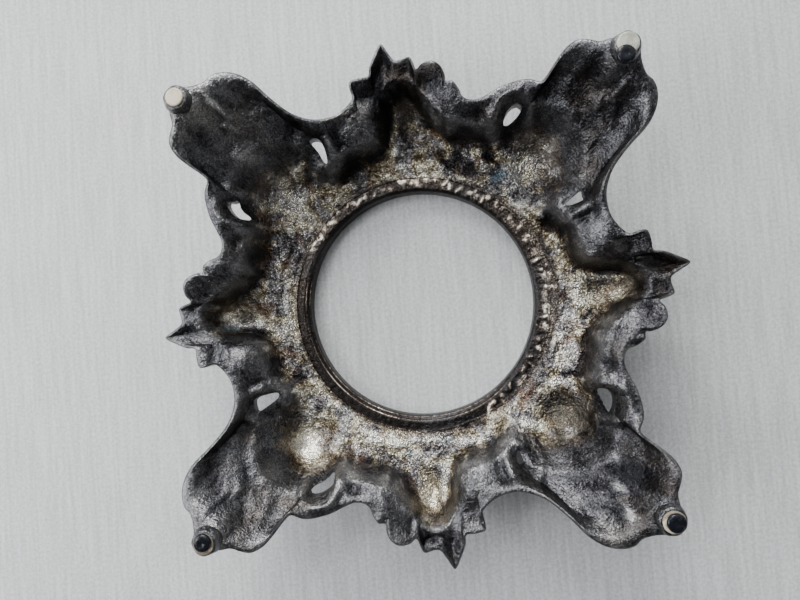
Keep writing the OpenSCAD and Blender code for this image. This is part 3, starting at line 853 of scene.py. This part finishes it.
def cast_metal():
    """Dark patina outside; mottled pewter, cream and brown residue in the low part; worn bright edges;
    painted shade in hollows, painted light on ridges, and painted highlights and shade from the tone mask.
    """
    n = Nodes("cast_metal_patina")
    broad = n.noise(45, 4, 0.55, 0.3)
    patch = n.noise(170, 6, 0.68, 0.7)
    speck = n.noise(650, 5, 0.72, 0.3)
    fine = n.noise(1500, 4, 0.7)
    flecks = n.ramp(n.noise(2200, 2, 0.6), 0.56, 0.70)
    pits = n.ramp(n.cells(560), 0.06, 0.24, 1.0, 0.0)
    # tone carries painted light and shade by side, painted highlights and painted shade, as well as
    # mottling, nubs and ledge lines
    tone = n.mask("tone")
    cavity_shade_and_light = n.mask("cavity_shade_and_light")
    polish = n.mask("polish")
    # light and dark of the bare skin, and of the residue in the low part
    grit = n.math("MULTIPLY", n.math("SUBTRACT", fine, 0.5), 0.6)
    grit = n.math("ADD", grit, n.math("MULTIPLY", flecks, 0.09))
    grit = n.math("SUBTRACT", grit, n.math("MULTIPLY", pits, 0.12))
    grit = n.math("ADD", grit, n.math("MULTIPLY", tone, 0.16))
    calm = n.math("ADD", n.math("MULTIPLY", patch, 0.42), n.math("MULTIPLY", speck, 0.34))
    level = n.math("ADD", n.math("ADD", calm, 0.12), grit)
    # painted shade in the hollows and painted light on the ridges of the skin
    level = n.math("SUBTRACT", level, n.math("MULTIPLY", cavity_shade_and_light, 0.12))
    flake = n.noise(250, 5, 0.62, 1.6)
    mud = n.math("ADD", n.math("MULTIPLY", patch, 0.60), n.math("MULTIPLY", flake, 0.55))
    mud = n.math("ADD", mud, n.math("MULTIPLY", speck, 0.45))
    mud = n.math("ADD", n.math("SUBTRACT", mud, 0.255), n.math("MULTIPLY", grit, 1.3))
    # painted shade in the hollows and painted light on the ridges of the residue
    mud = n.math("SUBTRACT", mud, n.math("MULTIPLY", cavity_shade_and_light, 0.22))
    blotch = n.noise(58, 4, 0.55, 1.1)
    mud = n.math("ADD", mud, n.ramp(blotch, 0.46, 0.60, 0.048, -0.080))
    # dark skin, from near black to blue-grey and pewter
    skin = n.stops(level, [
        (0.34, (0.014, 0.014, 0.016)), (0.44, (0.045, 0.045, 0.050)), (0.54, (0.090, 0.090, 0.096)),
        (0.66, (0.17, 0.17, 0.175)), (0.82, (0.42, 0.42, 0.41)),
    ])
    skin = n.mix(n.ramp(broad, 0.5, 0.68, 0.0, 0.4), skin, (0.075, 0.060, 0.046))
    # golden brown on the walls just above the low part
    amber = n.stops(level, [
        (0.34, (0.018, 0.014, 0.010)), (0.46, (0.085, 0.064, 0.040)), (0.58, (0.20, 0.155, 0.10)),
        (0.72, (0.40, 0.34, 0.25)), (0.84, (0.62, 0.56, 0.45)),
    ])
    # residue in the low part: warm and cool patches, rust and a little verdigris
    warm = n.stops(mud, [
        (0.32, (0.014, 0.010, 0.007)), (0.41, (0.072, 0.053, 0.034)), (0.49, (0.175, 0.138, 0.088)),
        (0.57, (0.32, 0.285, 0.205)), (0.66, (0.54, 0.51, 0.41)), (0.80, (0.86, 0.84, 0.75)),
    ])
    cool = n.stops(mud, [
        (0.32, (0.012, 0.011, 0.012)), (0.41, (0.050, 0.046, 0.049)), (0.50, (0.125, 0.116, 0.119)),
        (0.59, (0.245, 0.236, 0.238)), (0.69, (0.45, 0.44, 0.43)), (0.82, (0.84, 0.83, 0.80)),
    ])
    chill = n.math("ADD", blotch, n.noise(72, 4, 0.55, 0.9))
    residue = n.mix(n.ramp(chill, 0.93, 1.07), warm, cool)
    rust = n.ramp(n.noise(105, 4, 0.6, 0.5), 0.57, 0.66, 0.0, 0.65)
    residue = n.mix(rust, residue, (0.125, 0.066, 0.038))
    green = n.ramp(n.noise(62, 3, 0.5, 0.4), 0.65, 0.70, 0.0, 0.6)
    residue = n.mix(green, residue, (0.12, 0.19, 0.23))
    residue = n.mix(n.math("MULTIPLY", polish, 0.35), residue, (0.36, 0.32, 0.245))
    spread = n.math("ADD", n.mask("inner"), n.math("MULTIPLY", n.math("SUBTRACT", speck, 0.5), 0.6))
    golden = n.math("ADD", 0.12, n.math("MULTIPLY", polish, 0.7))
    golden = n.math("MULTIPLY", n.ramp(spread, 0.03, 0.4), golden)
    colour = n.mix(golden, skin, amber)
    inner = n.math("MULTIPLY", n.math("SUBTRACT", patch, 0.5), 0.9)
    inner = n.ramp(n.math("ADD", spread, inner), 0.30, 0.95)
    colour = n.mix(inner, colour, residue)
    # bronze band, with light nubs
    glint = n.math("MULTIPLY", n.math("ADD", speck, fine), 0.5)
    glint = n.math("ADD", glint, n.math("MULTIPLY", n.math("SUBTRACT", fine, 0.5), 0.7))
    bronze = n.stops(n.math("ADD", glint, n.math("MULTIPLY", tone, 0.3)), [
        (0.40, (0.022, 0.019, 0.018)), (0.52, (0.068, 0.056, 0.048)),
        (0.63, (0.17, 0.135, 0.11)), (0.75, (0.40, 0.34, 0.28)), (0.90, (0.76, 0.70, 0.60)),
    ])
    bluish = n.ramp(n.noise(60, 3, 0.5, 0.3), 0.50, 0.62, 0.0, 0.6)
    bronze = n.mix(n.math("MULTIPLY", bluish, 0.6), bronze, (0.060, 0.060, 0.066))
    colour = n.mix(n.math("MULTIPLY", n.mask("band"), 0.95), colour, bronze)
    # worn edge
    worn = n.math("MULTIPLY", n.mask("rim"), n.ramp(n.noise(90, 4, 0.65), 0.42, 0.62, 0.05, 0.6))
    colour = n.mix(worn, colour, (0.20, 0.205, 0.21))
    n.link(colour, n.shader.inputs["Base Color"])
    n.link(n.math("SUBTRACT", 1.0, n.math("MULTIPLY", inner, 0.25)), n.shader.inputs["Metallic"])
    rough = n.math("ADD", n.ramp(patch, 0.3, 0.72, 0.16, 0.28), n.ramp(speck, 0.38, 0.7, 0.0, 0.08))
    rough = n.math("SUBTRACT", rough, n.ramp(tone, 0.5, 1.2, 0.0, 0.06))
    rough = n.math("ADD", rough, n.math("MULTIPLY", n.math("SUBTRACT", 1.0, inner), 0.13))
    rough = n.math("SUBTRACT", rough, n.math("MULTIPLY", polish, 0.04))
    dull = n.math("MULTIPLY", inner, n.ramp(mud, 0.42, 0.62, 0.08, 0.0))
    n.link(n.math("ADD", rough, dull), n.shader.inputs["Roughness"])
    # smooth facets that catch the light, stronger in the low part
    share = n.math("MULTIPLY", n.ramp(spread, 0.0, 0.35), 0.4)
    share = n.math("ADD", share, n.math("MULTIPLY", inner, 0.7))
    share = n.math("ADD", 0.36, share)
    share = n.math("MULTIPLY", share, n.math("SUBTRACT", 1.0, n.math("MULTIPLY", polish, 0.65)))
    lump = n.math("MULTIPLY", n.noise(380, 1, 0.5, 0.4), share)
    facet = n.math("MULTIPLY", n.noise(1150, 1, 0.5, 0.5), share)
    facet = n.math("SUBTRACT", facet, n.math("MULTIPLY", pits, 0.12))
    low = n.bump(lump, 1.0, 0.0010)
    n.link(n.bump(facet, 1.0, 0.0008, low), n.shader.inputs["Normal"])
    return n.material


def cream_pad(name, dirt):
    """Aged cream; dirt is how much of it is stained brown."""
    n = Nodes(name)
    colour = n.mix(n.ramp(n.noise(420, 4, 0.6), 0.45, 0.7), (0.66, 0.60, 0.46), (0.52, 0.46, 0.33))
    stain = n.ramp(n.noise(170, 3, 0.6), 0.60 - 0.25 * dirt, 0.66 - 0.2 * dirt, 0.0, 0.85)
    colour = n.mix(stain, colour, (0.13, 0.105, 0.08))
    n.link(colour, n.shader.inputs["Base Color"])
    n.link(n.ramp(n.noise(900, 3), 0.3, 0.7, 0.55, 0.75), n.shader.inputs["Roughness"])
    n.shader.inputs["Subsurface Weight"].default_value = 0.15
    n.shader.inputs["Subsurface Scale"].default_value = 0.001
    n.link(n.bump(n.noise(1300, 4), 0.4, 0.0002), n.shader.inputs["Normal"])
    return n.material


def clear_gel():
    n = Nodes("clear_gel_pad")
    cloud = n.noise(300, 4, 0.6)
    colour = n.mix(n.ramp(cloud, 0.4, 0.62), (0.50, 0.53, 0.42), (0.74, 0.74, 0.64))
    n.link(colour, n.shader.inputs["Base Color"])
    n.link(n.ramp(n.noise(900, 3), 0.3, 0.7, 0.12, 0.3), n.shader.inputs["Roughness"])
    n.shader.inputs["Transmission Weight"].default_value = 0.35
    n.shader.inputs["Subsurface Weight"].default_value = 0.3
    n.shader.inputs["Subsurface Scale"].default_value = 0.001
    n.link(n.bump(n.noise(700, 2), 0.5, 0.0003), n.shader.inputs["Normal"])
    return n.material


def black_rubber():
    n = Nodes("black_rubber_glossy")
    dust = n.noise(700, 5, 0.65)
    colour = n.mix(n.ramp(dust, 0.55, 0.8), (0.006, 0.007, 0.01), (0.03, 0.032, 0.038))
    n.link(colour, n.shader.inputs["Base Color"])
    n.link(n.ramp(dust, 0.35, 0.7, 0.12, 0.35), n.shader.inputs["Roughness"])
    n.shader.inputs["Specular IOR Level"].default_value = 0.25
    n.link(n.bump(n.noise(800, 3), 0.25, 0.0002), n.shader.inputs["Normal"])
    return n.material


def concrete():
    n = Nodes("pale_floor")
    grain = n.noise(700, 6, 0.75)
    stretch = n.new("ShaderNodeMapping")
    stretch.inputs["Scale"].default_value = (1.0, 0.05, 1.0)
    n.link(n.place, stretch.inputs["Vector"])
    n.place = stretch.outputs["Vector"]
    streaks = n.noise(520, 4, 0.6)
    tone = n.math("ADD", n.math("MULTIPLY", grain, 0.65), n.math("MULTIPLY", streaks, 0.35))
    colour = n.mix(n.ramp(tone, 0.36, 0.64), (0.43, 0.44, 0.445), (0.66, 0.67, 0.68))
    n.link(colour, n.shader.inputs["Base Color"])
    n.shader.inputs["Roughness"].default_value = 0.9
    n.link(n.bump(tone, 0.5, 0.0008), n.shader.inputs["Normal"])
    return n.material


def dress(objects, material):
    for o in objects:
        o.data.materials.clear()
        o.data.materials.append(material)


metal = cast_metal()
dress([casting, boss_piece], metal)
dress([pads[0]], cream_pad("cream_pad_aged", 0.1))
dress([pads[2], pads[3]], cream_pad("cream_pad_stained", 1.0))
dress([pads[1]], clear_gel())
dress(stops, black_rubber())

# ---------------------------------------------------------------- camera, floor and light
# The camera looks nearly straight down from 28 cm, turned and tilted by a few degrees.
camera_data = bpy.data.cameras.new("camera")
camera_data.lens = 27.05
camera_data.sensor_width = 36
camera_data.clip_start = 0.01
camera = bpy.data.objects.new("camera", camera_data)
bpy.context.scene.collection.objects.link(camera)
right = Vector((0.9919, -0.0780, -0.1004)).normalized()
up = Vector((0.0815, 0.9962, 0.0313)).normalized()
back = right.cross(up).normalized()
turn = Matrix((right, up, back)).transposed()
camera.matrix_world = Matrix.Translation((0.01734, -0.00861, 0.27864)) @ turn.to_4x4()
bpy.context.scene.camera = camera

floor_mesh = bpy.data.meshes.new("floor")
floor_mesh.from_pydata([(-12, -12, 0), (12, -12, 0), (12, 12, 0), (-12, 12, 0)], [], [(0, 1, 2, 3)])
floor = bpy.data.objects.new("floor", floor_mesh)
floor.location.z = -0.0001
bpy.context.scene.collection.objects.link(floor)
dress([floor], concrete())

world = bpy.data.worlds.new("studio")
bpy.context.scene.world = world
world.use_nodes = True
sky = world.node_tree.nodes
sky["Background"].inputs["Color"].default_value = (0.96, 0.98, 1.0, 1)
# Pale at the horizon; higher up it is bright on the +Y side and dim on the -Y side.
direction = sky.new("ShaderNodeTexCoord")
parts = sky.new("ShaderNodeSeparateXYZ")
world.node_tree.links.new(direction.outputs["Generated"], parts.inputs["Vector"])
side = sky.new("ShaderNodeMapRange")
side.interpolation_type = "SMOOTHSTEP"
lift = sky.new("ShaderNodeMapRange")
lift.interpolation_type = "SMOOTHSTEP"
for node, axis, limits in ((side, "Y", (-0.35, 0.95, 0.06, 1.5)), (lift, "Z", (0.10, 0.38, 0.0, 1.0))):
    world.node_tree.links.new(parts.outputs[axis], node.inputs["Value"])
    for label, value in zip(("From Min", "From Max", "To Min", "To Max"), limits):
        node.inputs[label].default_value = value
glow = sky.new("ShaderNodeMix")
world.node_tree.links.new(lift.outputs["Result"], glow.inputs["Factor"])
glow.inputs["A"].default_value = 0.38
world.node_tree.links.new(side.outputs["Result"], glow.inputs["B"])
world.node_tree.links.new(glow.outputs["Result"], sky["Background"].inputs["Strength"])


def area(name, place, target, size, power, colour):
    data = bpy.data.lights.new(name, "AREA")
    data.size = size
    data.energy = power
    data.color = colour
    o = bpy.data.objects.new(name, data)
    o.location = place
    o.rotation_euler = (Vector(target) - Vector(place)).to_track_quat("-Z", "Y").to_euler()
    bpy.context.scene.collection.objects.link(o)


area("key", (-0.24, 1.15, 0.60), (0, 0, 0.02), 0.7, 25, (1.0, 0.99, 0.97))
area("fill", (-0.62, -0.02, 0.42), (0, 0, 0.02), 0.5, 4.5, (0.97, 0.98, 1.0))
# small bright lamps overhead, for glints on the metal
for place in ((-0.42, 0.34, 0.86), (0.02, 0.60, 0.86), (-0.20, 0.38, 1.00), (-0.62, -0.16, 0.80)):
    area("overhead", place, (0, 0, 0.02), 0.16, 0.8, (1.0, 1.0, 1.0))
area("low fill", (0.75, -0.70, 0.45), (0, 0, 0.02), 0.25, 0.9, (1.0, 1.0, 1.0))
